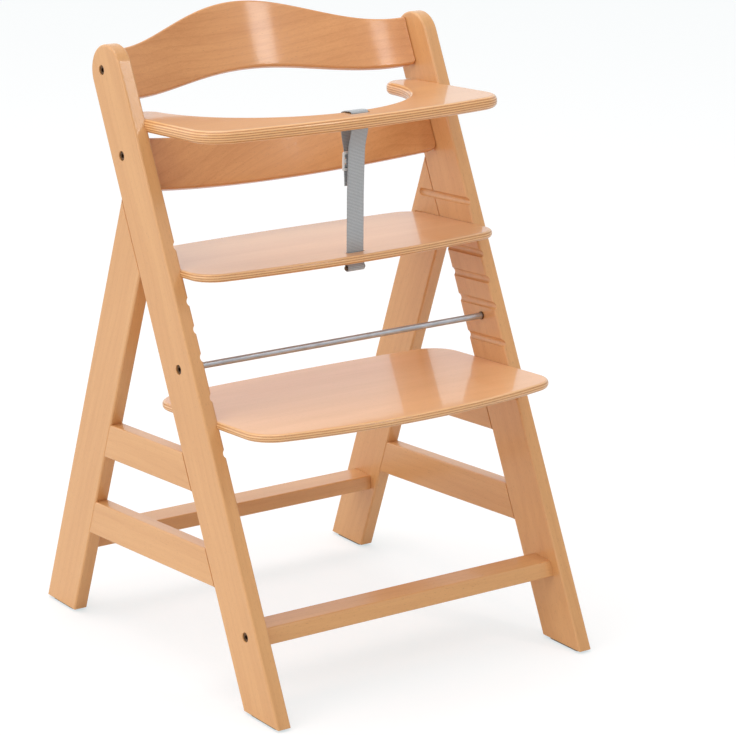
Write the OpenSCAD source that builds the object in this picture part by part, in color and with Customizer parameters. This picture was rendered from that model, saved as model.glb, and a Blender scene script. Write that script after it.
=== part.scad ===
// Beech high chair that grows with the child: two A-shaped side frames, two bent back slats,
// a seat plate and a foot plate held in grooves, a U-shaped front guard and a crotch strap.
// X points to the right of the sitting child's view from the front, the chair faces -Y, Z is up.
// Origin: centre of the footprint, on the floor.

/* [Overall] */
// Distance between the inner faces of the two side frames
gap_w = 436; // [380:1:480]
// Thickness of the side frames
side_t = 19; // [14:0.5:24]
// Half of the footprint depth, centre to the front or rear foot
foot_half = 278; // [230:0.5:320]
// Height of the wooden frame above its glides
frame_h = 760; // [650:1:900]

/* [Side frames] */
// Lean of the front rails from the vertical
rail_lean = 25.27; // [15:0.01:35]
// Width of the front rails
rail_w = 69; // [50:1:80]
// Lean of the rear legs from the vertical
leg_lean = 19.85; // [12:0.01:30]
// Width of the rear legs
leg_w = 68; // [50:1:80]
// Height of the side stretchers
stretcher_h = 45; // [30:1:60]
// Height of the lower edge of the upper stretchers at mid depth
upper_stretcher_z = 239.3; // [200:0.1:300]
// Height of the lower edge of the lower stretchers at mid depth
lower_stretcher_z = 128.8; // [90:0.1:180]
// Fall of the stretchers, grooves and plates towards the rear
fall = 3.3; // [0:0.1:8]

/* [Plates] */
// Thickness of the seat plate and the foot plate
plate_t = 10; // [8:0.5:14]
// Thickness of the front guard
guard_t = 16; // [12:0.5:20]
// Depth to which the board edges enter the side frames
bite = 3.5; // [2:0.25:6]
// Distance from one groove to the next
groove_pitch = 32.05; // [25:0.05:40]
// Height of the seat groove at mid depth
seat_z = 500.2; // [400:0.1:600]
// Height of the foot plate groove at mid depth
foot_z = 326.1; // [200:0.1:450]
// Height of the guard groove at mid depth
guard_z = 671.1; // [600:0.1:720]

/* [Back slats] */
// Thickness of the bent back slats
slat_t = 12; // [9:0.5:16]
// Depth of the bend of the back slats
slat_bow = 49; // [20:1:80]
// Rise of the hump on the top edge of the upper slat
hump = 56; // [0:1:90]
// Rise of the hollow in the lower edge of the upper slat
hump_low = 30.5; // [0:0.5:60]

/* [Crossbars and rod] */
// Height of the rear crossbar
bar_h = 20; // [12:0.5:25]
// Diameter of the tie rod
rod_d = 8; // [6:0.5:12]

/* [Strap] */
// Width of the crotch strap
strap_w = 25; // [20:1:40]
// Thickness of the webbing
strap_t = 1.5; // [1:0.1:3]

/* [Hidden] */
$fn = 96;
glide_t = 3;
in_x = gap_w / 2;
out_x = in_x + side_t;
rl = tan(rail_lean);
ll = tan(leg_lean);
kf = tan(fall);
rail_end = (frame_h - rail_w / 2 + rail_w / 2 * sin(rail_lean)) / cos(rail_lean);
edge_x = in_x + bite;
fit = 0.3;

beech = [0.87, 0.68, 0.50];
beech_top = [0.90, 0.74, 0.62];
steel = [0.66, 0.67, 0.68];
dark = [0.18, 0.15, 0.13];
web = [0.68, 0.69, 0.70];
white = [0.90, 0.90, 0.88];

// ---- frames of reference ----

// Rail frame: Y runs across the rail from its front edge, Z runs up along the rail
module on_rail() translate([0, -foot_half, glide_t]) rotate([-rail_lean, 0, 0]) children();

// Board frame: the plane of a groove whose height at mid depth is c
module on_level(c) translate([0, 0, c + glide_t]) rotate([-fall, 0, 0]) children();

// Draws its child on the left and on the right
module both() { children(); mirror([1, 0, 0]) children(); }

// A 2D shape drawn in (depth, height), given a thickness from x0 to x1
module across(x0, x1) translate([x0, 0, 0]) rotate([90, 0, 90]) linear_extrude(x1 - x0) children();

// ---- lines of the side frame, in depth for a given height ----
function rail_front(z) = -foot_half + rl * z;
function rail_rear(z) = rail_front(z) + rail_w / cos(rail_lean);
function leg_rear(z) = foot_half - ll * z;
function leg_front(z) = leg_rear(z) - leg_w / cos(leg_lean);
// Height where the sloping line through c meets the rear edge of the rail or the front of the leg
function meet_rail(c) = (c - kf * rail_rear(0)) / (1 + kf * rl);
function meet_leg(c) = (c - kf * leg_front(0)) / (1 - kf * ll);

// ---- side frames, drawn for the right side ----

function groove_levels() = [for (i = [-3 : 1]) seat_z + i * groove_pitch];
function foot_levels() = [for (i = [-1 : 1]) foot_z + i * groove_pitch];

// Round groove for a board edge of thickness t, from depth y0 to y1
module groove(c, t, y0, y1) on_level(c) translate([edge_x - t / 2, y0, 0]) rotate([-90, 0, 0])
  cylinder(r = t / 2 + fit, h = y1 - y0);

// Grooves of the two upper levels run on over the leg and end in a round stop
module stopped_grooves() for (c = [seat_z, seat_z + groove_pitch]) {
  stop = leg_rear(c) - 12;
  groove(c, plate_t, -200, stop);
  on_level(c) translate([edge_x - plate_t / 2, stop, 0]) sphere(r = plate_t / 2 + fit);
}

module open_grooves() {
  for (i = [-3 : -1]) groove(seat_z + i * groove_pitch, plate_t, -250, 60);
  for (c = foot_levels()) groove(c, plate_t, -350, 60);
  groove(guard_z, guard_t, -150, 200);
}

// Countersunk through hole across the side frame, at a depth and a height
module bolt_hole(y, z, d, d_head, sink) translate([in_x, y, z]) rotate([0, 90, 0]) {
  translate([0, 0, -1]) cylinder(d = d, h = side_t + 2);
  translate([0, 0, side_t - sink]) cylinder(d = d_head, h = sink + 1);
}

function on_rail_y(w, u) = -foot_half + w * cos(rail_lean) + u * sin(rail_lean);
function on_rail_z(w, u) = glide_t - w * sin(rail_lean) + u * cos(rail_lean);
// Bolts of the two slats, in the rail frame: place across the rail, place along the rail
slat_bolt = [[42.9, 824.6], [43.9, 716.6]];
// Depth of a slat bolt in the end of its slat
slat_bolt_in = 8;
rod_y = -59.7;
rod_z = 390.8 + glide_t;
fbar_bolt = [-206, 95 + glide_t];
head_sink = 6;

module rail() color(beech) difference() {
  on_rail() across(in_x, out_x) {
    translate([0, -60]) square([rail_w, rail_end + 60]);
    translate([rail_w / 2, rail_end]) circle(d = rail_w);
  }
  translate([0, -foot_half - 60, glide_t - 100]) cube([500, 300, 100]);
  stopped_grooves();
  open_grooves();
  for (b = slat_bolt) bolt_hole(on_rail_y(b[0], b[1]), on_rail_z(b[0], b[1]), 6.2, 12, head_sink);
  bolt_hole(rod_y, rod_z, rod_d + 0.2, 12, head_sink);
  bolt_hole(fbar_bolt[0], fbar_bolt[1], 6.2, 12, head_sink);
  leg_dowel_set(0.05);
  stretcher_dowel_set(0.05, true);
}

module leg() color(beech) difference() {
  across(in_x, out_x) translate([0, glide_t]) {
    za = (leg_rear(0) - rail_rear(0)) / (rl + ll);
    zb = (leg_front(0) - rail_rear(0)) / (rl + ll);
    polygon([[leg_front(0), 0], [leg_rear(0), 0], [rail_rear(za), za], [rail_rear(zb), zb]]);
  }
  stopped_grooves();
  leg_dowel_set(0.05);
  stretcher_dowel_set(0.05, false);
  rear_bar_dowel_set(0.05);
}

module stretcher(c) color(beech) difference() {
  across(in_x, out_x) translate([0, glide_t]) {
    z1 = meet_rail(c); z2 = meet_leg(c);
    z3 = meet_leg(c + stretcher_h); z4 = meet_rail(c + stretcher_h);
    polygon([[rail_rear(z1), z1], [leg_front(z2), z2], [leg_front(z3), z3], [rail_rear(z4), z4]]);
  }
  stretcher_dowel_set(0.05, true);
  stretcher_dowel_set(0.05, false);
}

// ---- dowels and bolts, drawn for the right side ----

mid_x = in_x + side_t / 2;

// Two dowels across the mitre between leg and rail, square to the rail
module leg_dowel_set(g) on_rail() for (u = [598, 645])
  translate([mid_x, rail_w - 16 - g, u]) rotate([-90, 0, 0]) cylinder(d = 8 + 2 * g, h = 32 + 2 * g);

// One dowel at the chosen end of each stretcher, along the stretcher
module stretcher_dowel_set(g, at_rail) for (c = [upper_stretcher_z, lower_stretcher_z]) {
  m = c + stretcher_h / 2;
  y = at_rail ? rail_rear(meet_rail(m)) : leg_front(meet_leg(m));
  on_level(m) translate([mid_x, y / cos(fall) - 15 - g, 0]) rotate([-90, 0, 0])
    cylinder(d = 8 + 2 * g, h = 30 + 2 * g);
}

rbar = [183.5, 222];
rbar_z = 88.2 + glide_t;

// Two dowels from each rear leg into the rear crossbar
module rear_bar_dowel_set(g) for (y = [193, 212.5]) translate([in_x - 22 - g, y, rbar_z + bar_h / 2])
  rotate([0, 90, 0]) cylinder(d = 8 + 2 * g, h = 34 + 2 * g);

// Cap bolt: head with a hex socket in the outer face, shank of length l running inwards
module cap_bolt(y, z, d, l) translate([out_x, y, z]) rotate([0, -90, 0]) difference() {
  union() {
    translate([0, 0, 1.6]) cylinder(d = 11, h = head_sink - 1.6);
    translate([0, 0, head_sink - 0.01]) cylinder(d = d, h = l - head_sink);
  }
  cylinder(d = 5.8, h = 4.6, $fn = 6);
}

// ---- nodes of the frame ----

module side_rail_right() rail();
module side_rail_left() mirror([1, 0, 0]) rail();
module rear_leg_right() leg();
module rear_leg_left() mirror([1, 0, 0]) leg();
module upper_stretcher_right() stretcher(upper_stretcher_z);
module upper_stretcher_left() mirror([1, 0, 0]) stretcher(upper_stretcher_z);
module lower_stretcher_right() stretcher(lower_stretcher_z);
module lower_stretcher_left() mirror([1, 0, 0]) stretcher(lower_stretcher_z);

// Front crossbar: level top, front face planed to the lean of the rails
module front_crossbar() color(beech) difference() {
  across(-in_x, in_x) translate([0, glide_t])
    polygon([[-179.5, 104.2], [-213.5, 103.2], [-221.2, 84.6], [-187.2, 84.6]]);
  both() translate([in_x - 42, fbar_bolt[0], fbar_bolt[1]]) rotate([0, 90, 0])
    cylinder(d = 6.1, h = 50);
}

module rear_crossbar() color(beech) difference() {
  translate([-in_x, rbar[0], rbar_z]) cube([gap_w, rbar[1] - rbar[0], bar_h]);
  both() rear_bar_dowel_set(0.05);
}

// Bent slat: a band of a cylinder, cut to the outline given as its children in (x, along rail)
module bent_slat(w_end) {
  r = (pow(in_x, 2) + pow(slat_bow, 2)) / (2 * slat_bow);
  on_rail() intersection() {
    translate([0, w_end + slat_bow - r, 640]) difference() {
      cylinder(r = r + slat_t, h = 290, $fn = 360);
      translate([0, 0, -1]) cylinder(r = r, h = 292, $fn = 360);
    }
    translate([0, 150, 0]) rotate([90, 0, 0]) linear_extrude(150) children();
  }
}

module slat_holes() both() for (b = slat_bolt)
  translate([in_x - slat_bolt_in - 0.3, on_rail_y(b[0], b[1]), on_rail_z(b[0], b[1])])
    rotate([0, 90, 0]) cylinder(d = 6.1, h = 20);

// Rise of a slat edge at x, 0 at the rails and 1 in the middle; a lower power makes it broader
function wave(x, power) = pow(max(1 + cos(180 * x / in_x), 0) / 2, power);

// Upper slat: both edges rise in a smooth hump to the middle
module upper_back_slat() color(beech) difference() {
  bent_slat(34.4) {
    n = 40;
    polygon(concat([for (i = [0 : n]) let (x = -in_x + gap_w * i / n) [x, 848.2 + hump * wave(x, 0.9)]],
      [for (i = [n : -1 : 0]) let (x = -in_x + gap_w * i / n) [x, 785.3 + hump_low * wave(x, 0.95)]]));
  }
  slat_holes();
}

// Lower slat: straight edges, small round corners at the lower ends
module lower_back_slat() color(beech) difference() {
  bent_slat(35.4) {
    translate([-in_x, 678.1]) square([gap_w, 57.5]);
    translate([-in_x + 8, 670.1]) square([gap_w - 16, 9]);
    for (s = [-1, 1]) translate([s * (in_x - 8), 678.1]) circle(r = 8);
  }
  slat_holes();
}

// Tie rod between the side frames, ends reach into the counterbores
module tie_rod() color(steel) translate([-out_x + head_sink + 0.1, rod_y, rod_z]) rotate([0, 90, 0])
  cylinder(d = rod_d, h = 2 * (out_x - head_sink - 0.1));

// Hex-socket caps screwed on the ends of the tie rod
module rod_caps() color(dark) both() translate([out_x, rod_y, rod_z]) rotate([0, -90, 0])
  difference() {
    translate([0, 0, 1.6]) cylinder(d = 11, h = head_sink - 1.6);
    cylinder(d = 5.8, h = 4.6, $fn = 6);
  }

module slat_bolts() color(dark) both() for (b = slat_bolt)
  cap_bolt(on_rail_y(b[0], b[1]), on_rail_z(b[0], b[1]), 6, side_t + slat_bolt_in);

module front_bar_bolts() color(dark) both() cap_bolt(fbar_bolt[0], fbar_bolt[1], 6, side_t + 40);

module leg_dowels() color(beech) both() leg_dowel_set(0);
module stretcher_dowels() color(beech) both() {
  stretcher_dowel_set(0, true);
  stretcher_dowel_set(0, false);
}
module rear_bar_dowels() color(beech) both() rear_bar_dowel_set(0);

// Flat glide under a foot, from depth y0 to y1
module glide(y0, y1) translate([mid_x - 6, y0 + 6, 0]) {
  cube([12, y1 - y0 - 12, glide_t]);
  for (y = [0, y1 - y0 - 12]) translate([6, y, 0]) cylinder(r = 6, h = glide_t);
}
module front_glides() color(dark) both() glide(rail_front(0) + 8, rail_rear(0) - 8);
module rear_glides() color(dark) both() glide(leg_front(0) + 8, leg_rear(0) - 8);

// ---- boards with round edges ----

// Depth of the centre of a corner arc of radius rc, inside a side at x = w and a big arc of
// radius rb about depth yb; s is -1 for a front corner and 1 for a rear corner
function corner_y(w, rc, rb, yb, s) = yb + s * sqrt(pow(rb - rc, 2) - pow(w - rc, 2));

// Half-round edge strip of a board of thickness t, following an arc of radius r about [0, 0]
// from angle a0 to a1
module arc_edge(r, t, a0, a1) rotate([0, 0, a0]) rotate_extrude(angle = a1 - a0, $fn = 180)
  translate([r - t / 2, 0]) intersection() {
    circle(d = t, $fn = 48);
    translate([0, -t]) square([t, 2 * t]);
  }

// Half-round edge strip along a straight side at x = w, from depth y0 to y1
module side_edge(w, t, y0, y1) translate([w - t / 2, y1, 0]) rotate([90, 0, 0]) linear_extrude(y1 - y0)
  intersection() {
    circle(d = t, $fn = 48);
    translate([0, -t]) square([t, 2 * t]);
  }

// Outline of a board inset by e: half width w, front apex yf on an arc rf, rear apex yr on an
// arc rr, corner radii cf and cr
module board_outline(w, yf, rf, cf, yr, rr, cr, e) {
  yfc = corner_y(w, cf, rf, yf + rf, -1);
  yrc = corner_y(w, cr, rr, yr - rr, 1);
  difference() {
    intersection() {
      translate([-(w - e), yf + e - 1]) square([2 * (w - e), yr - yf - 2 * e + 2]);
      translate([0, yf + rf]) circle(r = rf - e, $fn = 360);
      translate([0, yr - rr]) circle(r = rr - e, $fn = 360);
    }
    for (s = [-1, 1]) {
      af = atan2(yfc - yf - rf, w - cf);
      polygon([[s * (w - cf), yfc], [s * (w + 9), yfc], [s * (w + 9), yf - 20],
        [s * (w - cf + 90 * cos(af)), yfc + 90 * sin(af)]]);
      ar = atan2(yrc - yr + rr, w - cr);
      polygon([[s * (w - cr), yrc], [s * (w + 9), yrc], [s * (w + 9), yr + 20],
        [s * (w - cr + 90 * cos(ar)), yrc + 90 * sin(ar)]]);
    }
  }
  for (s = [-1, 1]) {
    translate([s * (w - cf), yfc]) circle(r = cf - e);
    translate([s * (w - cr), yrc]) circle(r = cr - e);
  }
}

// Plywood board with a half-round edge all round
module board(t, w, yf, rf, cf, yr, rr, cr) {
  yfc = corner_y(w, cf, rf, yf + rf, -1);
  yrc = corner_y(w, cr, rr, yr - rr, 1);
  af = atan2(yfc - yf - rf, w - cf);
  ar = atan2(yrc - yr + rr, w - cr);
  translate([0, 0, -t / 2]) linear_extrude(t) board_outline(w, yf, rf, cf, yr, rr, cr, t / 2);
  both() {
    side_edge(w, t, yfc, yrc);
    translate([w - cf, yfc, 0]) arc_edge(cf, t, af, 0);
    translate([w - cr, yrc, 0]) arc_edge(cr, t, 0, ar);
  }
  translate([0, yf + rf, 0]) arc_edge(rf, t, -180 - af, af);
  translate([0, yr - rr, 0]) arc_edge(rr, t, ar, 180 - ar);
}

slot_w = strap_w + 3;
strap_y = -88;

module seat_plate() color(beech_top) difference() {
  on_level(seat_z) board(plate_t, edge_x, -111.5, 1300, 36, 104, 3000, 36);
  translate([-slot_w / 2, strap_y - 2.5, seat_z - 20]) cube([slot_w, 5, 50]);
}

module foot_plate() color(beech_top) on_level(foot_z)
  board(plate_t, edge_x, -246.5, 765, 42, 42, 3000, 45);

// Front guard: U-shaped board, round arm ends that run out tangent to the hollow, half-round
// edges where it enters the grooves, and a slot for the strap
gi_r = 171;
gi_y = 95;
nub_r = 25.5;
nub_x = edge_x - nub_r;
nub_y = gi_y - sqrt(pow(gi_r + nub_r, 2) - pow(nub_x, 2));
g_front = -122.5;
g_rf = 1155;
g_cf = 45;
guard_slot = [-99.5, -94.5];

// Points on an arc about (x, y) of radius r from angle a0 to a1, in n steps
function arc(x, y, r, a0, a1, n) = [for (i = [0 : n]) let (a = a0 + (a1 - a0) * i / n)
  [x + r * cos(a), y + r * sin(a)]];

// Right half of the outline, from the middle of the front edge round the arm to the middle
// of the hollow
function guard_half() =
  let (yfc = corner_y(edge_x, g_cf, g_rf, g_front + g_rf, -1),
       af = atan2(yfc - g_front - g_rf, edge_x - g_cf),
       an = atan2(gi_y - nub_y, -nub_x))
  concat(arc(0, g_front + g_rf, g_rf, -90, af, 8), arc(edge_x - g_cf, yfc, g_cf, af + 6, 0, 8),
    arc(nub_x, nub_y, nub_r, 0, an - 6, 14), arc(0, gi_y, gi_r, an - 180, -90, 20));

module front_guard() color(beech_top) difference() {
  on_level(guard_z) intersection() {
    half = guard_half();
    translate([0, 0, -guard_t / 2]) linear_extrude(guard_t)
      polygon(concat(half, [for (i = [len(half) - 2 : -1 : 1]) [-half[i][0], half[i][1]]]));
    translate([0, 150, 0]) rotate([90, 0, 0]) linear_extrude(300) {
      square([2 * edge_x - guard_t, guard_t], center = true);
      for (s = [-1, 1]) translate([s * (edge_x - guard_t / 2), 0]) circle(d = guard_t);
    }
  }
  translate([-slot_w / 2, guard_slot[0], guard_z - 30])
    cube([slot_w, guard_slot[1] - guard_slot[0], 70]);
}

// ---- strap ----

// Band of thickness t drawn about a line of points in (depth, height)
function nrm(p, q) = let (d = q - p) [-d[1], d[0]] / norm(d);
function side_pts(ps, o) = [for (i = [0 : len(ps) - 1])
  let (a = nrm(ps[max(i - 1, 0)], ps[max(i, 1)]),
       b = nrm(ps[min(i, len(ps) - 2)], ps[min(i + 1, len(ps) - 1)]),
       m = (a + b) / norm(a + b)) ps[i] + m * o / max(m * a, 0.5)];
module band(ps, t) across(-strap_w / 2, strap_w / 2) {
  l = side_pts(ps, t / 2);
  r = side_pts(ps, -t / 2);
  polygon(concat(l, [for (i = [len(r) - 1 : -1 : 0]) r[i]]));
}

part_z = 556 + glide_t;
// Middle height of the guard board at the slot and at its inner edge
g1 = guard_z + kf * 97 + glide_t;
g2 = guard_z + kf * 78 + glide_t;
slider_z = 624 + glide_t;

// Depth of the middle of the run that hangs behind the slider
tail_y = -80.6;
// Small gap that parts the two runs, square to the grooves
part_gap = 0.1;

// Upper run: up through the guard slot, back over the strip behind it, down behind the slider
// to a loose tail
module strap_upper() color(web) difference() {
  band([[strap_y, part_z - 8], [strap_y - 1, 630], [strap_y - 2, 648], [-96.9, 668], [-97, g1 + 7],
    [-96, g1 + 8.8], [-93.6, g1 + 9.8], [-85, g1 + 9.4], [-77.5, g2 + 9.4], [-74, g2 + 8.8],
    [-71.4, g2 + 6.4], [-70.4, g2 + 2.8], [-70.2, g2 - 1.4], [-71.6, g2 - 5.6], [-75, g2 - 12],
    [tail_y, 648], [tail_y, slider_z - 31]], strap_t);
  on_level(part_z - glide_t - kf * 88) translate([-50, -200, -60]) cube([100, 300, 60]);
}

// Lower run: down through the seat slot to a loop sewn round the anchor bar
module strap_lower() color(web) {
  loop_z = 491 + glide_t;
  difference() {
    translate([-strap_w / 2, strap_y - strap_t / 2, loop_z + 3])
      cube([strap_w, strap_t, part_z + 8 - loop_z - 3]);
    on_level(part_z - glide_t - kf * 88 - part_gap) translate([-50, -200, 0]) cube([100, 300, 60]);
  }
  translate([-strap_w / 2, strap_y, loop_z]) rotate([0, 90, 0]) difference() {
    cylinder(r = 2.7 + strap_t, h = strap_w);
    translate([0, 0, -1]) cylinder(r = 2.7, h = strap_w + 2);
  }
}

module strap_anchor() color(dark) translate([-14, strap_y, 491 + glide_t]) rotate([0, 90, 0])
  cylinder(d = 5, h = 28);

// Three-bar slider: a frame with two windows and a middle bar the webbing turns round
module strap_slider() color(white) translate([0, -83, slider_z]) rotate([90, 0, 0])
  translate([0, 0, -1.25]) linear_extrude(2.5) difference() {
    square([strap_w + 7, 24], center = true);
    for (s = [-1, 1]) translate([0, s * 5.4]) square([strap_w + 1.6, 6.4], center = true);
  }

side_rail_left();
side_rail_right();
rear_leg_left();
rear_leg_right();
upper_stretcher_left();
upper_stretcher_right();
lower_stretcher_left();
lower_stretcher_right();
front_crossbar();
rear_crossbar();
upper_back_slat();
lower_back_slat();
tie_rod();
rod_caps();
slat_bolts();
front_bar_bolts();
leg_dowels();
stretcher_dowels();
rear_bar_dowels();
front_glides();
rear_glides();
seat_plate();
strap_lower();
strap_anchor();
foot_plate();
front_guard();
strap_upper();
strap_slider();
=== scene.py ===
# Beech high chair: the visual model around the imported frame. Metres, Z up, the chair faces -Y.
import math
import bpy
import bmesh
import numpy as np
from mathutils import Matrix, Vector


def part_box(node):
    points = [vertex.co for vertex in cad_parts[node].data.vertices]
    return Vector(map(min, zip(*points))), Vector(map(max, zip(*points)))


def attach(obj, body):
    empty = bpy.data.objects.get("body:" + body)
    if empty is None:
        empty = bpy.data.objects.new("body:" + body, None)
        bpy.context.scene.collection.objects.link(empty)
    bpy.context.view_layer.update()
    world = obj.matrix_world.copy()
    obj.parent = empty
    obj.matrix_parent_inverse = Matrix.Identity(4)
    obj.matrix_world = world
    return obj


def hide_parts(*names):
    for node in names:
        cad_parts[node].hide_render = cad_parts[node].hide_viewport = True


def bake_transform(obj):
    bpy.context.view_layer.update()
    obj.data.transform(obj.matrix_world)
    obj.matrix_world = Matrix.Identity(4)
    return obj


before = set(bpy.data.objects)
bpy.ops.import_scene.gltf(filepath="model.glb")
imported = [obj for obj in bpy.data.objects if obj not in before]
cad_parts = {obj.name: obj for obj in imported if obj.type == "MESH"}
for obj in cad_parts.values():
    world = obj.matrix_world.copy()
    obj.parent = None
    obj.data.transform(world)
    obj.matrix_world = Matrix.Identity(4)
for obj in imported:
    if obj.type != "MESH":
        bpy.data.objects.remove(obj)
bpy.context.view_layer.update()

MM = 0.001

# ---- design values that the frame doesn't state, in metres and radians ----
RAIL_LEAN = math.radians(25.27)
LEG_LEAN = math.radians(19.85)
FALL = math.radians(3.3)
RAIL_W = 69 * MM
LEG_W = 68 * MM
GLIDE_T = 3 * MM
SEAT_T = 10 * MM
GUARD_T = 16 * MM
# how deep the boards' edges sit in the side frames, and their play in the grooves
BITE = 3.5 * MM
FIT = 0.3 * MM
# heights over the glides, at mid depth, of the boards' middle planes; the grooves are PITCH apart
PITCH = 32.05 * MM
SEAT_C = 500.2 * MM
FOOT_C = 326.1 * MM
GUARD_C = 671.1 * MM
# the same heights of the stretchers' lower edges
UPPER_STRETCHER_C = 239.3 * MM
LOWER_STRETCHER_C = 128.8 * MM
STRETCHER_H = 45 * MM
# depth of the bolts' counterbores, and the holes behind them
HEAD_SINK = 6 * MM
BOLT_HOLE = 6.2 * MM
ROD_HOLE = 8.2 * MM

# ---- values read from the frame ----
rail_low, rail_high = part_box("side_rail_right")
IN_X, OUT_X = rail_low.x, rail_high.x
SIDE_T = OUT_X - IN_X
FOOT_HALF = -rail_low.y
FRAME_TOP = rail_high.z
EDGE_X = IN_X + BITE
# place along the rail where its round end starts
RAIL_END = (FRAME_TOP - GLIDE_T - RAIL_W / 2 * (1 - math.sin(RAIL_LEAN))) / math.cos(RAIL_LEAN)


def middle(node):
    """Centre of a node's box."""
    low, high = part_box(node)
    return (low + high) / 2


# ---------------------------------------------------------------- places ----

def on_rail(w, u):
    """(y, z) of a point w across the rail from its front edge and u along it from the foot."""
    c, s = math.cos(RAIL_LEAN), math.sin(RAIL_LEAN)
    return (-FOOT_HALF + w * c + u * s, GLIDE_T + u * c - w * s)


def on_level(level, x, y, h):
    """Point (x, y, h) of the sloping plane whose height at mid depth is level; h is over it."""
    c, s = math.cos(FALL), math.sin(FALL)
    return (x, y * c + h * s, level + GLIDE_T - y * s + h * c)


def height_at(level, y):
    """Height of that plane straight over y."""
    return level + GLIDE_T - y * math.tan(FALL)


def rail_front(z):
    return -FOOT_HALF + math.tan(RAIL_LEAN) * z


def rail_rear(z):
    return rail_front(z) + RAIL_W / math.cos(RAIL_LEAN)


def leg_rear(z):
    return FOOT_HALF - math.tan(LEG_LEAN) * z


def leg_front(z):
    return leg_rear(z) - LEG_W / math.cos(LEG_LEAN)


def meet_rail(c):
    """Height where the sloping line through c meets the rear edge of the rail."""
    k = math.tan(FALL)
    return (c - k * rail_rear(0)) / (1 + k * math.tan(RAIL_LEAN))


def meet_leg(c):
    """Height where the sloping line through c meets the front edge of the leg."""
    k = math.tan(FALL)
    return (c - k * leg_front(0)) / (1 - k * math.tan(LEG_LEAN))


# ------------------------------------------------------------ mesh tools ----

def new_object(name, verts, faces):
    mesh = bpy.data.meshes.new(name)
    mesh.from_pydata([tuple(v) for v in verts], [], faces)
    mesh.update()
    obj = bpy.data.objects.new(name, mesh)
    bpy.context.scene.collection.objects.link(obj)
    face_out(obj)
    return obj


def face_out(obj):
    """Turns every face of a closed mesh outwards."""
    bm = bmesh.new()
    bm.from_mesh(obj.data)
    bmesh.ops.recalc_face_normals(bm, faces=bm.faces)
    bm.to_mesh(obj.data)
    bm.free()


def apply_modifiers(obj):
    """Writes the result of the object's modifiers into its mesh."""
    graph = bpy.context.evaluated_depsgraph_get()
    graph.update()
    mesh = bpy.data.meshes.new_from_object(obj.evaluated_get(graph), depsgraph=graph)
    old = obj.data
    obj.modifiers.clear()
    obj.data = mesh
    bpy.data.meshes.remove(old)


def loft(name, rings):
    """Skin over rings of equally many points, with a cap on the first and the last."""
    n = len(rings[0])
    verts = [p for ring in rings for p in ring]
    faces = []
    for i in range(len(rings) - 1):
        a, b = i * n, (i + 1) * n
        for j in range(n):
            k = (j + 1) % n
            faces.append((a + j, a + k, b + k, b + j))
    faces.append(tuple(range(n))[::-1])
    faces.append(tuple((len(rings) - 1) * n + j for j in range(n)))
    return new_object(name, verts, faces)


def lathe(name, profile, origin, axis, segments=48):
    """Turned piece: profile is (distance along axis, radius) from one end to the other."""
    z = Vector(axis).normalized()
    x = z.orthogonal().normalized()
    y = z.cross(x)
    rings = []
    for d, r in profile:
        ring = []
        for i in range(segments):
            a = 2 * math.pi * i / segments
            ring.append(Vector(origin) + z * d + (x * math.cos(a) + y * math.sin(a)) * r)
        rings.append(ring)
    return loft(name, rings)


def prism(name, outline, x0, x1):
    """Sharp-edged board of outline (y, z) from x0 to x1."""
    n = len(outline)
    verts = [(x0, y, z) for y, z in outline] + [(x1, y, z) for y, z in outline]
    faces = [tuple(range(n))[::-1], tuple(range(n, 2 * n))]
    faces += [(j, (j + 1) % n, n + (j + 1) % n, n + j) for j in range(n)]
    return new_object(name, verts, faces)


def round_edges(obj, radius, share):
    """Rounds each edge of obj by share(edge, a, b) of radius, where a and b are its ends."""
    mesh = obj.data
    weights = mesh.attributes.new("bevel_weight_edge", "FLOAT", "EDGE")
    for edge in mesh.edges:
        a, b = (mesh.vertices[i].co for i in edge.vertices)
        weights.data[edge.index].value = share(edge, a, b)
    bevel = obj.modifiers.new("rounding", "BEVEL")
    bevel.limit_method = "WEIGHT"
    bevel.width = radius
    bevel.segments = 4
    bevel.use_clamp_overlap = False
    apply_modifiers(obj)


def corners(outline):
    """Numbers of the outline's points where it turns by more than 20 degrees."""
    points = np.array(outline)
    found = set()
    for i in range(len(points)):
        before = points[i] - points[i - 1]
        after = points[(i + 1) % len(points)] - points[i]
        turn = abs(math.atan2(before[0] * after[1] - before[1] * after[0], before @ after))
        if turn > math.radians(20):
            found.add(i)
    return found


def cut(obj, cutters):
    """Takes the cutters out of obj."""
    for cutter in cutters:
        boolean = obj.modifiers.new("cut", "BOOLEAN")
        boolean.operation = "DIFFERENCE"
        boolean.solver = "EXACT"
        boolean.object = cutter
    apply_modifiers(obj)
    for cutter in cutters:
        mesh = cutter.data
        bpy.data.objects.remove(cutter)
        bpy.data.meshes.remove(mesh)


def mirrored(obj, name):
    """Copy of obj on the other side of the middle plane."""
    mesh = obj.data.copy()
    mesh.transform(Matrix.Scale(-1, 4, (1, 0, 0)))
    mesh.flip_normals()
    copy = bpy.data.objects.new(name, mesh)
    bpy.context.scene.collection.objects.link(copy)
    return copy


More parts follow.
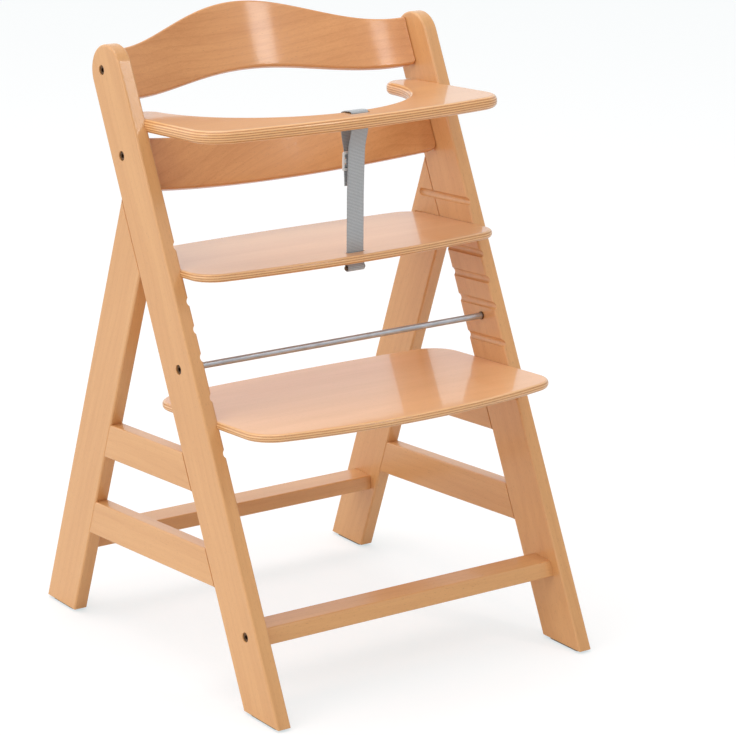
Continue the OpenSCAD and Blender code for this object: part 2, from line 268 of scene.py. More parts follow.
def set_grain(obj, origin, along, across, seed):
    """Stores each point's place in the plank: along the grain, across it, and through it.
    seed moves the piece to another place in the tree, so no two pieces look alike."""
    along = np.array(along, float)
    along /= np.linalg.norm(along)
    across = np.array(across, float)
    across -= along * (across @ along)
    across /= np.linalg.norm(across)
    depth = np.cross(along, across)
    mesh = obj.data
    co = np.zeros(len(mesh.vertices) * 3)
    mesh.vertices.foreach_get("co", co)
    co = co.reshape(-1, 3) - np.array(origin)
    grain = np.stack([co @ along, co @ across, co @ depth], 1)
    stored = mesh.attributes.new("grain", "FLOAT_VECTOR", "POINT")
    stored.data.foreach_set("vector", grain.ravel())
    shift = mesh.attributes.new("tree", "FLOAT_VECTOR", "POINT")
    rng = np.random.default_rng(seed)
    place = rng.uniform((0, -0.05, 0.05), (6, 0.05, 0.14))
    shift.data.foreach_set("vector", np.tile(place, len(mesh.vertices)))


def smooth(obj):
    """Smooth shading that keeps flat faces flat and edges over 40 degrees sharp."""
    obj.data.shade_smooth()
    obj.data.set_sharp_from_angle(angle=math.radians(40))
    normals = obj.modifiers.new("face normals", "WEIGHTED_NORMAL")
    normals.keep_sharp = True
    normals.weight = 100


def finish_piece(obj, body, material, nodes=()):
    """Gives the piece its material, smooth shading and body, and hides the CAD nodes it stands for."""
    obj.data.materials.clear()
    obj.data.materials.append(material)
    smooth(obj)
    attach(obj, body)
    if nodes:
        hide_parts(*nodes)


# ------------------------------------------------------------- materials ----

class Nodes:
    """Small helper that adds and links shader nodes."""

    def __init__(self, name):
        self.material = bpy.data.materials.new(name)
        self.material.use_nodes = True
        self.tree = self.material.node_tree
        self.tree.nodes.clear()
        self.output = self.add("ShaderNodeOutputMaterial")
        self.shader = self.add("ShaderNodeBsdfPrincipled")
        self.link(self.shader.outputs[0], self.output.inputs["Surface"])

    def add(self, kind, **settings):
        node = self.tree.nodes.new(kind)
        for key, value in settings.items():
            setattr(node, key, value)
        return node

    def link(self, a, b):
        self.tree.links.new(a, b)

    def put(self, node, socket, value):
        """Links value to the socket if it is one too, and otherwise sets it."""
        if isinstance(value, bpy.types.NodeSocket):
            self.link(value, node.inputs[socket])
        else:
            node.inputs[socket].default_value = value

    def math(self, operation, a, b=0.0):
        node = self.add("ShaderNodeMath", operation=operation)
        self.put(node, 0, a)
        self.put(node, 1, b)
        return node.outputs[0]

    def vector(self, operation, a, b):
        node = self.add("ShaderNodeVectorMath", operation=operation)
        self.put(node, 0, a)
        self.put(node, 1, b)
        return node.outputs[0]

    def noise(self, vector, scale, detail=3.0, roughness=0.5):
        node = self.add("ShaderNodeTexNoise")
        self.put(node, "Vector", vector)
        self.put(node, "Scale", scale)
        self.put(node, "Detail", detail)
        self.put(node, "Roughness", roughness)
        return node.outputs[0]

    def smoothstep(self, value, low, high):
        node = self.add("ShaderNodeMapRange", interpolation_type="SMOOTHSTEP")
        self.put(node, "Value", value)
        self.put(node, "From Min", low)
        self.put(node, "From Max", high)
        return node.outputs[0]

    def mix(self, factor, a, b):
        """Colour a to b as factor goes from 0 to 1; both are sockets or (r, g, b)."""
        node = self.add("ShaderNodeMix", data_type="RGBA")
        self.put(node, 0, factor)
        for socket, value in ((6, a), (7, b)):
            if isinstance(value, tuple):
                value = (*value, 1)
            self.put(node, socket, value)
        return node.outputs[2]

    def split(self, vector):
        """The three parts of a vector."""
        node = self.add("ShaderNodeSeparateXYZ")
        self.link(vector, node.inputs[0])
        return node.outputs

    def bump(self, height, distance, strength):
        node = self.add("ShaderNodeBump")
        self.put(node, "Height", height)
        node.inputs["Distance"].default_value = distance
        node.inputs["Strength"].default_value = strength
        self.link(node.outputs[0], self.shader.inputs["Normal"])
        self.link(node.outputs[0], self.shader.inputs["Coat Normal"])


def srgb(r, g, b):
    """Linear colour of 0-255 display values, none of them near black."""
    return tuple(((v / 255 + 0.055) / 1.055) ** 2.4 for v in (r, g, b))


def darker(colour, share):
    return tuple(c * share for c in colour)


def attribute(nodes, name):
    return nodes.add("ShaderNodeAttribute", attribute_name=name).outputs["Vector"]


def object_place(nodes):
    return nodes.add("ShaderNodeTexCoord").outputs["Object"]


def stretched(nodes, vector, along, across):
    """Vector scaled so that noise on it makes streaks along the grain."""
    return nodes.vector("MULTIPLY", vector, (along, across, across))


RINGS_PER_METRE = 95.0
RING_WANDER = 0.050
GRAIN_RISE = 0.05
TONE_SHARE = 0.50
STREAK_SHARE = 0.26
GRAIN_RELIEF = 0.04 * MM


def wood_colour(nodes, grain, light, dark, rings_share, flecks):
    """Beech: soft growth rings, slow changes of tone and short fine flecks."""
    tree = nodes.vector("ADD", grain, attribute(nodes, "tree"))
    wander = nodes.noise(stretched(nodes, tree, 3.0, 9.0), 1.0)
    along, across, through = nodes.split(tree)
    across = nodes.math("ADD", across, nodes.math("MULTIPLY", along, GRAIN_RISE))
    rings = nodes.math("ADD", nodes.math("MULTIPLY", across, across),
                       nodes.math("MULTIPLY", through, through))
    rings = nodes.math("SQRT", rings)
    rings = nodes.math("ADD", rings, nodes.math("MULTIPLY", wander, RING_WANDER))
    rings = nodes.math("FRACT", nodes.math("MULTIPLY", rings, RINGS_PER_METRE))
    late = nodes.smoothstep(rings, 0.55, 1.0)
    tone = nodes.smoothstep(nodes.noise(stretched(nodes, tree, 2.2, 30.0), 1.0), 0.30, 0.70)
    streak = nodes.noise(stretched(nodes, tree, 14.0, 520.0), 1.0, 4.0, 0.65)
    strong = nodes.smoothstep(streak, 0.30, 0.72)
    fleck = nodes.noise(stretched(nodes, tree, 210.0, 1500.0), 1.0, 2.0)
    fleck = nodes.smoothstep(fleck, 0.60, 0.74)
    amount = nodes.math("MULTIPLY", late, rings_share)
    amount = nodes.math("ADD", amount, nodes.math("MULTIPLY", tone, TONE_SHARE))
    amount = nodes.math("ADD", amount, nodes.math("MULTIPLY", strong, STREAK_SHARE))
    colour = nodes.mix(nodes.math("MINIMUM", amount, 1.0), light, dark)
    colour = nodes.mix(nodes.math("MULTIPLY", fleck, flecks), colour, darker(dark, 0.66))
    return colour, streak, fleck


def lacquer(nodes, roughness, coat, coat_roughness):
    """Clear lacquer over the wood."""
    shader = nodes.shader
    shader.inputs["Roughness"].default_value = roughness
    shader.inputs["IOR"].default_value = 1.5
    shader.inputs["Coat Weight"].default_value = coat
    shader.inputs["Coat Roughness"].default_value = coat_roughness
    shader.inputs["Coat IOR"].default_value = 1.5


def beech(name, light, dark, rings_share=0.16, coat_roughness=0.16):
    """Solid beech under a clear lacquer."""
    nodes = Nodes(name)
    grain = attribute(nodes, "grain")
    colour, streak, fleck = wood_colour(nodes, grain, light, dark, rings_share, 0.5)
    nodes.put(nodes.shader, "Base Color", colour)
    lacquer(nodes, 0.42, 0.55, coat_roughness)
    height = nodes.math("SUBTRACT", nodes.math("MULTIPLY", streak, 0.5), fleck)
    nodes.bump(height, GRAIN_RELIEF, 0.6)
    return nodes.material


PLY_WOBBLE = 0.5 * MM
VENEER_T = 0.7 * MM
VENEER_BLUR = 0.5 * MM


def plywood(name, thickness, plies, light, dark, edge_light, edge_dark):
    """Moulded plywood: a beech face, and a rounded edge that shows the plies."""
    nodes = Nodes(name)
    grain = attribute(nodes, "grain")
    face, streak, fleck = wood_colour(nodes, grain, light, dark, 0.10, 0.30)
    through = nodes.split(grain)[2]
    wobble = nodes.noise(stretched(nodes, grain, 25.0, 25.0), 1.0, 2.0)
    wobble = nodes.math("MULTIPLY", nodes.math("SUBTRACT", wobble, 0.5), PLY_WOBBLE)
    height = nodes.math("ADD", nodes.math("ADD", through, wobble), thickness / 2)
    height = nodes.math("MULTIPLY", height, plies / thickness)
    place = nodes.math("FRACT", height)
    odd = nodes.math("FLOORED_MODULO", nodes.math("FLOOR", height), 2.0)
    shade = nodes.noise(nodes.vector("MULTIPLY", grain, (90.0, 90.0, 500.0)), 1.0)
    shade = nodes.smoothstep(shade, 0.3, 0.7)
    ends = nodes.noise(nodes.vector("MULTIPLY", grain, (700.0, 700.0, 900.0)), 1.0, 2.0)
    ends = nodes.smoothstep(ends, 0.35, 0.65)
    light_ply = nodes.mix(shade, edge_light, darker(edge_light, 0.90))
    dark_ply = nodes.mix(ends, edge_dark, darker(edge_dark, 0.80))
    ply = nodes.mix(odd, light_ply, dark_ply)
    glue = nodes.math("ABSOLUTE", nodes.math("SUBTRACT", place, 0.5))
    glue = nodes.smoothstep(glue, 0.43, 0.50)
    ply = nodes.mix(nodes.math("MULTIPLY", glue, 0.55), ply, darker(edge_dark, 0.45))
    off = nodes.math("ABSOLUTE", through)
    inner = thickness / 2 - VENEER_T
    veneer = nodes.smoothstep(off, inner, inner + VENEER_BLUR)
    nodes.put(nodes.shader, "Base Color", nodes.mix(veneer, ply, face))
    lacquer(nodes, 0.40, 0.62, 0.07)
    relief = nodes.math("SUBTRACT", nodes.math("MULTIPLY", streak, 0.4), fleck)
    relief = nodes.math("SUBTRACT", relief, nodes.math("MULTIPLY", glue, 1.2))
    nodes.bump(relief, GRAIN_RELIEF, 0.6)
    return nodes.material


def metal(name, colour, roughness, scratch):
    """Turned metal with fine rings round it along X."""
    nodes = Nodes(name)
    place = object_place(nodes)
    rings = nodes.noise(nodes.vector("MULTIPLY", place, (2600.0, 60.0, 60.0)), 1.0)
    cloud = nodes.noise(nodes.vector("MULTIPLY", place, (60.0, 120.0, 120.0)), 1.0)
    tint = nodes.mix(nodes.smoothstep(cloud, 0.3, 0.7), colour, darker(colour, 0.82))
    nodes.put(nodes.shader, "Base Color", tint)
    nodes.shader.inputs["Metallic"].default_value = 1.0
    rough = nodes.math("ADD", nodes.math("MULTIPLY", cloud, 0.15), roughness - 0.07)
    nodes.put(nodes.shader, "Roughness", rough)
    nodes.bump(rings, scratch, 0.5)
    return nodes.material


def plastic(name, colour, roughness, grit):
    """Moulded plastic with a fine texture."""
    nodes = Nodes(name)
    place = object_place(nodes)
    fine = nodes.noise(place, 2500.0, 2.0)
    cloud = nodes.noise(place, 90.0)
    tint = nodes.mix(nodes.smoothstep(cloud, 0.3, 0.7), colour, darker(colour, 0.92))
    nodes.put(nodes.shader, "Base Color", tint)
    nodes.shader.inputs["Roughness"].default_value = roughness
    nodes.bump(fine, grit, 0.5)
    return nodes.material


STRAP_W = 25 * MM
WEAVE_PITCH = 1.8 * MM
THREAD_PITCH = 1.1 * MM
EDGE_CORD = 2 * MM


def webbing(name, light, dark):
    """Woven polyester: cross ribs, a fine twill on them and darker edge cords."""
    nodes = Nodes(name)
    grain = attribute(nodes, "grain")
    along, across, _ = nodes.split(grain)
    rib = nodes.math("SINE", nodes.math("MULTIPLY", along, 2 * math.pi / WEAVE_PITCH))
    lean = nodes.math("ADD", nodes.math("MULTIPLY", across, 2 * math.pi / THREAD_PITCH),
                      nodes.math("MULTIPLY", along, math.pi / WEAVE_PITCH))
    thread = nodes.math("SINE", lean)
    weave = nodes.math("MULTIPLY", nodes.math("ADD", rib, 1.0), 0.32)
    weave = nodes.math("ADD", weave, nodes.math("MULTIPLY", nodes.math("ADD", thread, 1.0), 0.18))
    fuzz = nodes.noise(nodes.vector("MULTIPLY", grain, (900.0, 1800.0, 900.0)), 1.0)
    fuzz = nodes.math("MULTIPLY", nodes.math("SUBTRACT", fuzz, 0.5), 0.5)
    weave = nodes.math("ADD", weave, fuzz)
    edge = nodes.math("ABSOLUTE", across)
    edge = nodes.smoothstep(edge, STRAP_W / 2 - EDGE_CORD, STRAP_W / 2 - 0.35 * EDGE_CORD)
    shade = nodes.math("MINIMUM", nodes.math("MAXIMUM", weave, 0.0), 1.0)
    colour = nodes.mix(shade, dark, light)
    colour = nodes.mix(nodes.math("MULTIPLY", edge, 0.30), colour, dark)
    nodes.put(nodes.shader, "Base Color", colour)
    nodes.shader.inputs["Roughness"].default_value = 0.72
    nodes.shader.inputs["Sheen Weight"].default_value = 0.35
    nodes.shader.inputs["Sheen Roughness"].default_value = 0.4
    nodes.bump(weave, 0.22 * MM, 0.8)
    return nodes.material


def dowel_wood(name, light, dark):
    """Plain beech of the hidden dowels."""
    nodes = Nodes(name)
    streaks = nodes.vector("MULTIPLY", object_place(nodes), (400.0, 400.0, 60.0))
    streak = nodes.noise(streaks, 1.0)
    nodes.put(nodes.shader, "Base Color", nodes.mix(streak, light, dark))
    nodes.shader.inputs["Roughness"].default_value = 0.6
    nodes.bump(streak, 0.05 * MM, 0.5)
    return nodes.material


BEECH = beech("beech", srgb(221, 166, 108), srgb(206, 148, 91))
BEECH_SLAT = beech("beech slat", srgb(220, 156, 97), srgb(197, 130, 72), 0.20, 0.09)
PLY = plywood("seat plywood", SEAT_T, 7, srgb(222, 165, 114), srgb(210, 151, 100),
              srgb(236, 188, 132), srgb(208, 144, 88))
# the foot plate's plywood: a lighter copy of the seat plywood, painted light that stands in for the light
# the foot plate lacks in the shade under the seat
FOOT_PLY_PAINTED_LIGHT = plywood("foot plywood", SEAT_T, 7, srgb(242, 182, 126), srgb(230, 168, 111),
                   srgb(238, 190, 134), srgb(210, 146, 90))
GUARD_PLY = plywood("guard plywood", GUARD_T, 11, srgb(221, 165, 114), srgb(209, 151, 100),
                    srgb(240, 188, 128), srgb(208, 140, 82))
STEEL = metal("zinc steel", srgb(206, 215, 223), 0.5, 0.02 * MM)
DARK_STEEL = metal("bronzed steel", srgb(118, 92, 70), 0.42, 0.02 * MM)
GLIDE = plastic("glide plastic", srgb(112, 92, 76), 0.6, 0.04 * MM)
WHITE = plastic("white plastic", srgb(232, 232, 230), 0.35, 0.02 * MM)
WEB = webbing("grey webbing", srgb(204, 208, 210), srgb(128, 132, 136))
DOWEL = dowel_wood("dowel beech", srgb(228, 186, 140), srgb(200, 150, 104))


# ------------------------------------------------------------ side frames ----

# the groove cutters start in front of the rails, and those of the open grooves end behind them
CLEAR_FRONT, CLEAR_REAR = -350 * MM, 200 * MM
# a stopped groove's straight part ends this far before the rear edge of the leg
GROOVE_STOP = 12 * MM


def groove_cutter(level, thickness, end_y, stopped=False):
    """Round groove of the right side frame, along the sloping plane back to end_y."""
    r = thickness / 2 + FIT
    xc = EDGE_X - thickness / 2
    start = Vector(on_level(level, xc, CLEAR_FRONT, 0))
    end = Vector(on_level(level, xc, end_y, 0))
    length = (end - start).length
    profile = [(0, r), (length, r)]
    if stopped:
        profile += [(length + r * math.sin(a), r * math.cos(a))
                    for a in np.linspace(0, math.pi / 2, 10)[1:-1]] + [(length + r, r * 0.02)]
    return lathe("groove", profile, start, end - start, 40)


def open_groove_cutters():
    levels = [(SEAT_C + i * PITCH, SEAT_T) for i in (-3, -2, -1)]
    levels += [(FOOT_C + i * PITCH, SEAT_T) for i in (-1, 0, 1)]
    levels.append((GUARD_C, GUARD_T))
    return [groove_cutter(level, thickness, CLEAR_REAR) for level, thickness in levels]


def stopped_groove_cutters():
    return [groove_cutter(c, SEAT_T, leg_rear(c) - GROOVE_STOP, True) for c in (SEAT_C, SEAT_C + PITCH)]


def bolt_cutter(place, shank):
    """Counterbored hole with a softened mouth, from the outer face inwards."""
    rim, mouth = 6 * MM, 6.5 * MM
    profile = [(-1 * MM, mouth), (0, mouth), (0.25 * MM, rim + 0.2 * MM), (0.6 * MM, rim),
               (HEAD_SINK, rim), (HEAD_SINK, shank / 2), (SIDE_T + 2 * MM, shank / 2)]
    return lathe("hole", profile, (OUT_X, *place), (-1, 0, 0), 40)


def solid_places(node, count):
    """Centres (y, z) of the right-hand solids of a node, from the lowest up."""
    places = []
    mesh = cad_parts[node].data
    right = [v.co for v in mesh.vertices if v.co.x > 0]
    for part in cluster(right, 20 * MM):
        low = Vector(map(min, *part))
        high = Vector(map(max, *part))
        places.append(((low.y + high.y) / 2, (low.z + high.z) / 2))
    if len(places) != count:
        raise ValueError(f"{node}: {len(places)} solids on the right, not {count}")
    return sorted(places, key=lambda p: p[1])


def cluster(points, gap):
    """Groups points whose (y, z) places lie within gap of a group's first point."""
    groups = []
    for p in points:
        for group in groups:
            if math.hypot(p.y - group[0].y, p.z - group[0].z) < gap:
                group.append(p)
                break
        else:
            groups.append([p])
    return groups


def arc2(cx, cy, r, a0, a1, n):
    """Points on an arc, degrees, both ends included."""
    return [(cx + r * math.cos(math.radians(a0 + (a1 - a0) * i / n)),
             cy + r * math.sin(math.radians(a0 + (a1 - a0) * i / n))) for i in range(n + 1)]


def joint_span():
    """Heights over the glides where the leg's front and rear edges meet the rail."""
    spread = math.tan(RAIL_LEAN) + math.tan(LEG_LEAN)
    return (leg_front(0) - rail_rear(0)) / spread, (leg_rear(0) - rail_rear(0)) / spread


def along_rail(z):
    """Place along the rail of the point of its rear edge at height z."""
    return z / math.cos(RAIL_LEAN) + RAIL_W * math.tan(RAIL_LEAN)


EDGE_R = 2.8 * MM
BAR_EDGE_R = 2 * MM
# shares of the rounding where two members meet, at the feet and along a stretcher
JOINT_SHARE = 0.14
LEG_JOINT_SHARE = 0.3
FOOT_SHARE = 0.35
STRETCHER_SHARE = 0.8


def frame_member(name, outline, share_at):
    """Board of the right side frame, its rims rounded by share_at(y, z) of EDGE_R. Only the sharp
    corners of its outline have a cross edge to round."""
    obj = prism(name, outline, IN_X, OUT_X)
    sharp = corners(outline)

    def share(edge, a, b):
        if abs(a.x - b.x) > SIDE_T / 2:
            return share_at(a.y, a.z) if edge.vertices[0] % len(outline) in sharp else 0.0
        return share_at((a.y + b.y) / 2, (a.z + b.z) / 2)

    round_edges(obj, EDGE_R, share)
    return obj


def side_rail(name):
    low, high = joint_span()
    wu = [(0, 0), (RAIL_W, along_rail(0)), (RAIL_W, along_rail(low)), (RAIL_W, along_rail(high))]
    wu += arc2(RAIL_W / 2, RAIL_END, RAIL_W / 2, 0, 180, 40)

    def share_at(y, z):
        over = z - GLIDE_T
        if low < over < high and y > rail_rear(over) - 1 * MM:
            return JOINT_SHARE
        return FOOT_SHARE if over < 0.5 * MM else 1.0

    obj = frame_member(name, [on_rail(w, u) for w, u in wu], share_at)
    cutters = open_groove_cutters() + stopped_groove_cutters()
    cutters += [bolt_cutter(place, BOLT_HOLE) for place in solid_places("slat_bolts", 2)]
    cutters += [bolt_cutter(place, BOLT_HOLE) for place in solid_places("front_bar_bolts", 1)]
    cutters += [bolt_cutter(place, ROD_HOLE) for place in solid_places("rod_caps", 1)]
    cut(obj, cutters)
    return obj


def rear_leg(name):
    low, high = joint_span()
    outline = [(leg_front(0), 0), (leg_rear(0), 0), (rail_rear(high), high), (rail_rear(low), low)]

    def share_at(y, z):
        over = z - GLIDE_T
        if y < rail_rear(over) + 0.5 * MM:
            return LEG_JOINT_SHARE
        return FOOT_SHARE if over < 0.5 * MM else 1.0

    obj = frame_member(name, [(y, z + GLIDE_T) for y, z in outline], share_at)
    cut(obj, stopped_groove_cutters())
    return obj


def stretcher(name, level):
    ends = []
    for c in (level, level + STRETCHER_H):
        z1, z2 = meet_rail(c), meet_leg(c)
        ends += [(rail_rear(z1), z1), (leg_front(z2), z2)]
    outline = [(y, z + GLIDE_T) for y, z in (ends[0], ends[1], ends[3], ends[2])]

    def share_at(y, z):
        over = z - GLIDE_T
        at_end = y < rail_rear(over) + 0.5 * MM or y > leg_front(over) - 0.5 * MM
        return JOINT_SHARE if at_end else STRETCHER_SHARE

    return frame_member(name, outline, share_at)


def make_side_frames():
    rail_dir = (0, math.sin(RAIL_LEAN), math.cos(RAIL_LEAN))
    leg_dir = (0, -math.sin(LEG_LEAN), math.cos(LEG_LEAN))
    level_dir = (0, math.cos(FALL), -math.sin(FALL))
    kinds = [("side_rail", side_rail("rail right"), rail_dir),
             ("rear_leg", rear_leg("leg right"), leg_dir),
             ("upper_stretcher", stretcher("upper stretcher right", UPPER_STRETCHER_C), level_dir),
             ("lower_stretcher", stretcher("lower stretcher right", LOWER_STRETCHER_C), level_dir)]
    for i, (kind, right, along) in enumerate(kinds):
        left = mirrored(right, right.name.replace("right", "left"))
        for j, (side, obj) in enumerate((("right", right), ("left", left))):
            node = f"{kind}_{side}"
            obj.name = node.replace("_", ".") + ".wood"
            set_grain(obj, middle(node), along, (0, along[2], -along[1]), 11 + 2 * i + j)
            finish_piece(obj, "base", BEECH, [node])


def make_crossbars():
    """Front crossbar, its faces planed to the lean of the rails, and the flat rear crossbar."""
    for i, (node, slant, drop) in enumerate((("front_crossbar", 7.7 * MM, 1 * MM),
                                             ("rear_crossbar", 0, 0))):
        low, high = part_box(node)
        outline = [(low.y, low.z), (high.y - slant, low.z), (high.y, high.z), (low.y + slant, high.z - drop)]
        obj = prism(node.replace("_", ".") + ".wood", outline, low.x, high.x)
        # the long edges are rounded, and the end rims hardly, against the side frames
        round_edges(obj, BAR_EDGE_R, lambda edge, a, b: 1.0 if abs(a.x - b.x) > IN_X else 0.15)
        set_grain(obj, (low + high) / 2, (1, 0, 0), (0, 1, 0), 31 + i)
        finish_piece(obj, "base", BEECH, [node])


# ------------------------------------------------------------- back slats ----

SLAT_T = 12 * MM
# how far the middle of a slat lies behind its ends
SLAT_BOW = 49 * MM
SLAT_EDGE = 3.2 * MM
SLAT_END_R = 2.2 * MM
SLAT_RADIUS = (IN_X ** 2 + SLAT_BOW ** 2) / (2 * SLAT_BOW)
# where each slat's front face ends, behind the front edge of the rail
UPPER_SLAT_W = 34.4 * MM
LOWER_SLAT_W = 35.4 * MM
# where their lower and upper edges end, along the rail
UPPER_SLAT_LOW, UPPER_SLAT_HIGH = 785.3 * MM, 848.2 * MM
LOWER_SLAT_LOW, LOWER_SLAT_HIGH = 670.1 * MM, 735.6 * MM
# how much higher the two edges of the upper slat are in the middle
HUMP_LOW, HUMP_HIGH = 30.5 * MM, 56 * MM
UPPER_SLAT_CORNER = 5 * MM
LOWER_SLAT_CORNER = 8 * MM


def round_rectangle(x0, x1, y0, y1, r, n):
    """Rectangle with round corners, as points in the plane; n steps in each corner."""
    points = []
    for cx, cy, a in ((x1 - r, y1 - r, 0), (x0 + r, y1 - r, 90),
                      (x0 + r, y0 + r, 180), (x1 - r, y0 + r, 270)):
        points += arc2(cx, cy, r, a, a + 90, n)
    return points


def rounding(into, r):
    """How far an edge rounded by r has drawn back where it is into deep."""
    return r - math.sqrt(max(r ** 2 - max(r - into, 0) ** 2, 0))


def bent_slat(name, w_end, low_edge, high_edge, corner):
    """Bent slat from rail to rail. low_edge(x) and high_edge(x) are places along the rail, and
    corner is the radius of its lower end corners."""
    near_end = np.linspace(-IN_X, -IN_X + 12 * MM, 16)
    half = np.concatenate([near_end, np.linspace(near_end[-1], 0, 40)[1:]])
    back = w_end + SLAT_BOW - SLAT_RADIUS
    rings = []
    for x in np.concatenate([half, -half[::-1][1:]]):
        into = IN_X - abs(x)
        ease, lift = rounding(into, SLAT_END_R), rounding(into, corner)
        w0 = back + math.sqrt(SLAT_RADIUS ** 2 - x * x) + ease
        w1 = back + math.sqrt((SLAT_RADIUS + SLAT_T) ** 2 - x * x) - ease
        u0, u1 = low_edge(x) + max(lift, ease), high_edge(x) - ease
        section = round_rectangle(w0, w1, u0, u1, SLAT_EDGE - ease / 2, 6)
        rings.append([(x, *on_rail(w, u)) for w, u in section])
    return loft(name, rings)


def make_slats():
    def wave(x, power):
        return (max(1 + math.cos(math.pi * x / IN_X), 0) / 2) ** power

    upper = bent_slat("upper.slat.wood", UPPER_SLAT_W,
                      lambda x: UPPER_SLAT_LOW + HUMP_LOW * wave(x, 0.95),
                      lambda x: UPPER_SLAT_HIGH + HUMP_HIGH * wave(x, 0.9), UPPER_SLAT_CORNER)
    lower = bent_slat("lower.slat.wood", LOWER_SLAT_W,
                      lambda x: LOWER_SLAT_LOW, lambda x: LOWER_SLAT_HIGH, LOWER_SLAT_CORNER)
    up = (0, math.sin(RAIL_LEAN), math.cos(RAIL_LEAN))
    # the grain of the slats runs up a little to the right, most of all in the lower one
    for i, (obj, node, rise) in enumerate(((upper, "upper_back_slat", 0.10),
                                           (lower, "lower_back_slat", 0.34))):
        set_grain(obj, middle(node), (1, rise * up[1], rise * up[2]), up, 41 + i)
        finish_piece(obj, "base", BEECH_SLAT, [node])


# ----------------------------------------------------------------- boards ----

def board_outline(w, yf, rf, cf, yr, rr, cr, e):
    """Outline of a board inset by e: half width w, front apex yf on an arc rf, rear apex yr on
    an arc rr, corner radii cf and cr. Counter-clockwise from the middle of the front edge."""
    yfc = yf + rf - math.sqrt((rf - cf) ** 2 - (w - cf) ** 2)
    yrc = yr - rr + math.sqrt((rr - cr) ** 2 - (w - cr) ** 2)
    af = math.degrees(math.atan2(yfc - yf - rf, w - cf))
    ar = math.degrees(math.atan2(yrc - yr + rr, w - cr))
    half = arc2(0, yf + rf, rf - e, -90, af, 16) + arc2(w - cf, yfc, cf - e, af, 0, 16)[1:]
    half += arc2(w - cr, yrc, cr - e, 0, ar, 16) + arc2(0, yr - rr, rr - e, ar, 90, 10)[1:]
    return half + [(-x, y) for x, y in half[-2:0:-1]]


def guard_outline(e):
    """Outline of the U-shaped guard inset by e: a bowed front, two arms with round ends, and the
    hollow for the child between them."""
    w = EDGE_X
    inner_r, inner_y, nub_r = 171 * MM, 95 * MM, 25.5 * MM
    nub_x = w - nub_r
    nub_y = inner_y - math.sqrt((inner_r + nub_r) ** 2 - nub_x ** 2)
    front, rf, cf = -122.5 * MM, 1155 * MM, 45 * MM
    yfc = front + rf - math.sqrt((rf - cf) ** 2 - (w - cf) ** 2)
    af = math.degrees(math.atan2(yfc - front - rf, w - cf))
    an = math.degrees(math.atan2(inner_y - nub_y, -nub_x))
    half = arc2(0, front + rf, rf - e, -90, af, 20) + arc2(w - cf, yfc, cf - e, af, 0, 18)[1:]
    half += arc2(nub_x, nub_y, nub_r - e, 0, an, 28) + arc2(0, inner_y, inner_r + e, an - 180, -90, 60)[1:]
    return half + [(-x, y) for x, y in half[-2:0:-1]]


def bullnose(name, outline, thickness, r, level):
    """Board with a rounded edge: outline(e) is its outline inset by e."""
    steps = 7
    flat = thickness / 2 - r
    levels = [(math.radians(a), -flat) for a in np.linspace(-90, 0, steps)]
    levels += [(math.radians(a), flat) for a in np.linspace(0, 90, steps)]
    rings = []
    for a, shift in levels:
        ring = outline(r * (1 - math.cos(a)))
        rings.append([on_level(level, x, y, shift + r * math.sin(a)) for x, y in ring])
    return loft(name, rings)


def slot_cutter(level, y, width, gap):
    """Cutter for a strap slot with round ends, through the board at that level."""
    r = gap / 2
    outline = arc2(width / 2 - r, 0, r, -90, 90, 10) + arc2(-width / 2 + r, 0, r, 90, 270, 10)
    rings = []
    z = height_at(level, y)
    for h in (-20 * MM, 20 * MM):
        rings.append([(px, y + py, z + h) for px, py in outline])
    return loft("slot", rings)


# front apex, radius of its arc and of the front corners, then the same at the rear
SEAT_SHAPE = (-111.5 * MM, 1300 * MM, 36 * MM, 104 * MM, 3000 * MM, 36 * MM)
FOOT_SHAPE = (-246.5 * MM, 765 * MM, 42 * MM, 42 * MM, 3000 * MM, 45 * MM)
PLATE_EDGE_R = 4.6 * MM
GUARD_EDGE_R = 6.6 * MM
SLOT_W = 28 * MM
SLOT_GAP = 5 * MM
STRAP_Y = -88 * MM
GUARD_SLOT_Y = -97 * MM
# where the strap leaves the guard's inner edge
GUARD_EDGE_Y = -78 * MM


def make_boards():
    seat = bullnose("seat.plate.board", lambda e: board_outline(EDGE_X, *SEAT_SHAPE, e),
                    SEAT_T, PLATE_EDGE_R, SEAT_C)
    cut(seat, [slot_cutter(SEAT_C, STRAP_Y, SLOT_W, SLOT_GAP)])
    foot = bullnose("foot.plate.board", lambda e: board_outline(EDGE_X, *FOOT_SHAPE, e),
                    SEAT_T, PLATE_EDGE_R, FOOT_C)
    guard = bullnose("front.guard.board", guard_outline, GUARD_T, GUARD_EDGE_R, GUARD_C)
    cut(guard, [slot_cutter(GUARD_C, GUARD_SLOT_Y, SLOT_W, SLOT_GAP)])
    boards = [(seat, "seat_plate", "seat", PLY, SEAT_C),
              # the foot plate takes the plywood painted lighter, for the shade under the seat
              (foot, "foot_plate", "foot_rest", FOOT_PLY_PAINTED_LIGHT, FOOT_C),
              (guard, "front_guard", "guard", GUARD_PLY, GUARD_C)]
    for i, (obj, node, body, material, level) in enumerate(boards):
        # through the board is the third grain direction, measured from its middle plane
        set_grain(obj, on_level(level, 0, 0, 0), (1, 0, 0), (0, math.cos(FALL), -math.sin(FALL)), 51 + i)
        finish_piece(obj, body, material, [node])


# ------------------------------------------------------------------ strap ----

STRAP_T = 1.5 * MM
RIB_H = 0.09 * MM
SLIDER_Z = middle("strap_slider").z
# height where the upper and the lower run of the strap meet
PART_Z = 559 * MM


